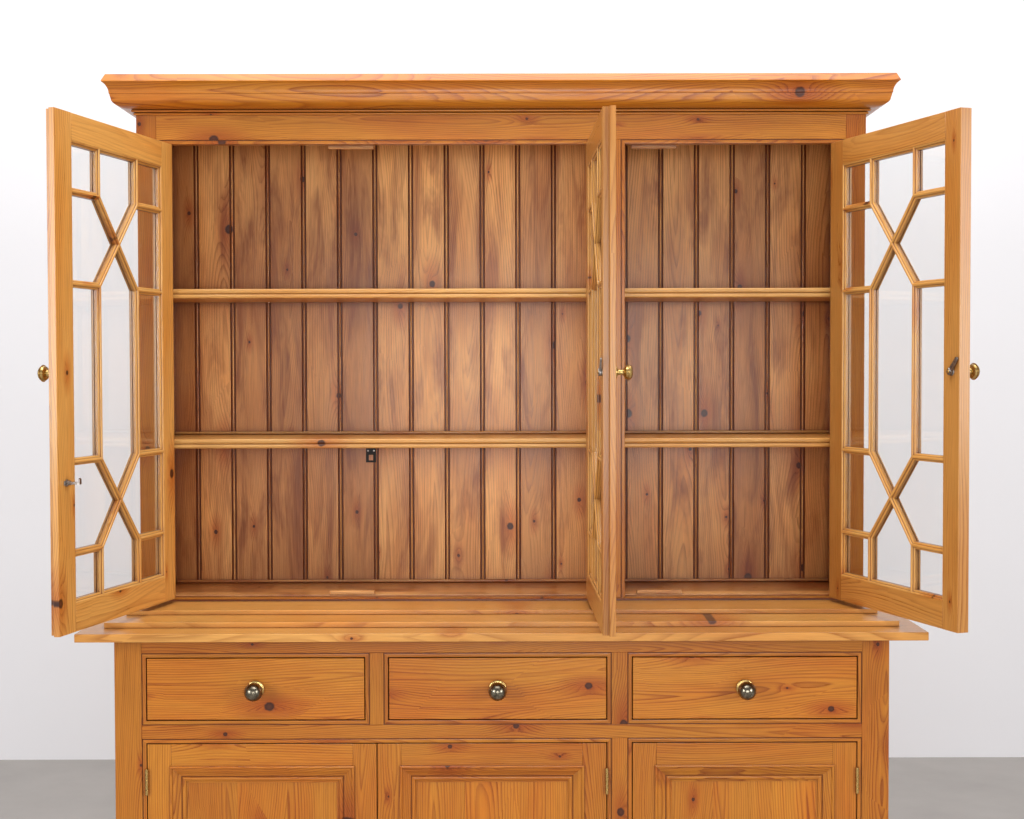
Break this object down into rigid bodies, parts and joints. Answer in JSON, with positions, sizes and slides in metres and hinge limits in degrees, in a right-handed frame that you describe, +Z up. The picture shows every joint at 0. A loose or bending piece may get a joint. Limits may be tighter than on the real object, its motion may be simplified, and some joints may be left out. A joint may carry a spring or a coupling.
{
  "type": "pantry cabinet",
  "caption": "Two-part glazed pine dresser cupboard: hinged glazed doors over shelves, standing on a base with drawers and panelled doors",
  "frame": {"origin": "on the floor under the middle of the base: halfway across its width and halfway through its depth", "axes": "+Z up, -Y the front with the doors and drawers, +X to the viewer's right when facing the front"},
  "size_m": [1.912, 0.8167, 2.113],
  "materials": {
    "waxed_pine": "honey-coloured antique wax over planed pine",
    "inner_pine": "thinner, browner wax on the inside boards",
    "raw_pine": "unfinished planed pine",
    "brass": "bright lacquered brass",
    "antique_brass": "darkened brass with worn highlights",
    "steel": "plain bright steel",
    "black_iron": "black japanned steel",
    "glass": "clear float glass"
  },
  "bodies": {
    "case": {"cornice": "waxed_pine", "upper_face_frame": "waxed_pine", "worktop": "waxed_pine", "step_board": "waxed_pine", "case_plinth_board": "waxed_pine", "base_face_frame": "waxed_pine", "upper_carcass": "inner_pine", "upper_back_boards": "inner_pine", "base_back_panel": "inner_pine", "shelf_left_upper": "inner_pine", "shelf_left_lower": "inner_pine", "shelf_right_upper": "inner_pine", "shelf_right_lower": "inner_pine", "base_carcass": "raw_pine", "catch_keep": "black_iron", "hinge_glazed_left_upper": "brass", "hinge_glazed_left_lower": "brass", "hinge_base_left_upper": "brass", "hinge_base_left_lower": "brass", "hinge_glazed_middle_upper": "brass", "hinge_glazed_middle_lower": "brass", "hinge_base_middle_upper": "brass", "hinge_base_middle_lower": "brass", "hinge_glazed_right_upper": "brass", "hinge_glazed_right_lower": "brass", "hinge_base_right_upper": "brass", "hinge_base_right_lower": "brass"},
    "glazed_door_left": {"glazed_door_frame_left": "waxed_pine", "glazing_bars_left": "waxed_pine", "glass_left": "glass", "door_knob_left": "brass"},
    "glazed_door_middle": {"glazed_door_frame_middle": "waxed_pine", "glazing_bars_middle": "waxed_pine", "glass_middle": "glass"},
    "glazed_door_right": {"glazed_door_frame_right": "waxed_pine", "glazing_bars_right": "waxed_pine", "glass_right": "glass"},
    "turn_catch_middle": {"door_knob_middle": "brass", "turn_latch_middle": "steel"},
    "turn_catch_right": {"door_knob_right": "brass", "turn_latch_right": "steel"},
    "elbow_catch": {"elbow_catch": "steel"},
    "drawer_left": {"drawer_front_left": "waxed_pine", "drawer_box_left": "raw_pine", "drawer_knob_left": "antique_brass"},
    "base_door_left": {"base_door_frame_left": "waxed_pine", "base_door_panel_left": "waxed_pine", "base_door_knob_left": "antique_brass"},
    "drawer_middle": {"drawer_front_middle": "waxed_pine", "drawer_box_middle": "raw_pine", "drawer_knob_middle": "antique_brass"},
    "base_door_middle": {"base_door_frame_middle": "waxed_pine", "base_door_panel_middle": "waxed_pine", "base_door_knob_middle": "antique_brass"},
    "drawer_right": {"drawer_front_right": "waxed_pine", "drawer_box_right": "raw_pine", "drawer_knob_right": "antique_brass"},
    "base_door_right": {"base_door_frame_right": "waxed_pine", "base_door_panel_right": "waxed_pine", "base_door_knob_right": "antique_brass"}
  },
  "joints": [
    {"name": "glazed_left_hinge", "type": "hinge", "parent": "case", "child": "glazed_door_left", "pos_m": [-0.793, -0.034, 1.43], "axis": [0, 0, -1], "range_deg": [-103.7, 66.3]},
    {"name": "glazed_middle_hinge", "type": "hinge", "parent": "case", "child": "glazed_door_middle", "pos_m": [0.227, -0.034, 1.43], "axis": [0, 0, 1], "range_deg": [-90.8, 59.2]},
    {"name": "glazed_right_hinge", "type": "hinge", "parent": "case", "child": "glazed_door_right", "pos_m": [0.793, -0.034, 1.43], "axis": [0, 0, 1], "range_deg": [-108.3, 61.7]},
    {"name": "turn_catch_middle_spindle", "type": "hinge", "parent": "glazed_door_middle", "child": "turn_catch_middle", "pos_m": [0.22985, -0.52441, 1.43], "axis": [-0.9999, -0.014, 0], "range_deg": [-49, 41]},
    {"name": "turn_catch_right_spindle", "type": "hinge", "parent": "glazed_door_right", "child": "turn_catch_right", "pos_m": [0.93898, -0.48813, 1.43], "axis": [-0.9494, -0.314, 0], "range_deg": [-49, 41]},
    {"name": "elbow_catch_pivot", "type": "hinge", "parent": "glazed_door_left", "child": "elbow_catch", "pos_m": [-0.87408, -0.50973, 1.2085], "axis": [0.2368, 0.9715, 0], "range_deg": [0, 14], "stiffness_Nm_per_rad": 0.3},
    {"name": "drawer_left_slide", "type": "slide", "parent": "case", "child": "drawer_left", "axis": [0, -1, 0], "range_m": [0, 0.3]},
    {"name": "drawer_middle_slide", "type": "slide", "parent": "case", "child": "drawer_middle", "axis": [0, -1, 0], "range_m": [0, 0.3]},
    {"name": "drawer_right_slide", "type": "slide", "parent": "case", "child": "drawer_right", "axis": [0, -1, 0], "range_m": [0, 0.3]},
    {"name": "base_left_hinge", "type": "hinge", "parent": "case", "child": "base_door_left", "pos_m": [-0.78, -0.27, 0.36], "axis": [0, 0, -1], "range_deg": [0, 170]},
    {"name": "base_middle_hinge", "type": "hinge", "parent": "case", "child": "base_door_middle", "pos_m": [0.23, -0.27, 0.36], "axis": [0, 0, 1], "range_deg": [0, 150]},
    {"name": "base_right_hinge", "type": "hinge", "parent": "case", "child": "base_door_right", "pos_m": [0.78, -0.27, 0.36], "axis": [0, 0, 1], "range_deg": [0, 170]}
  ]
}
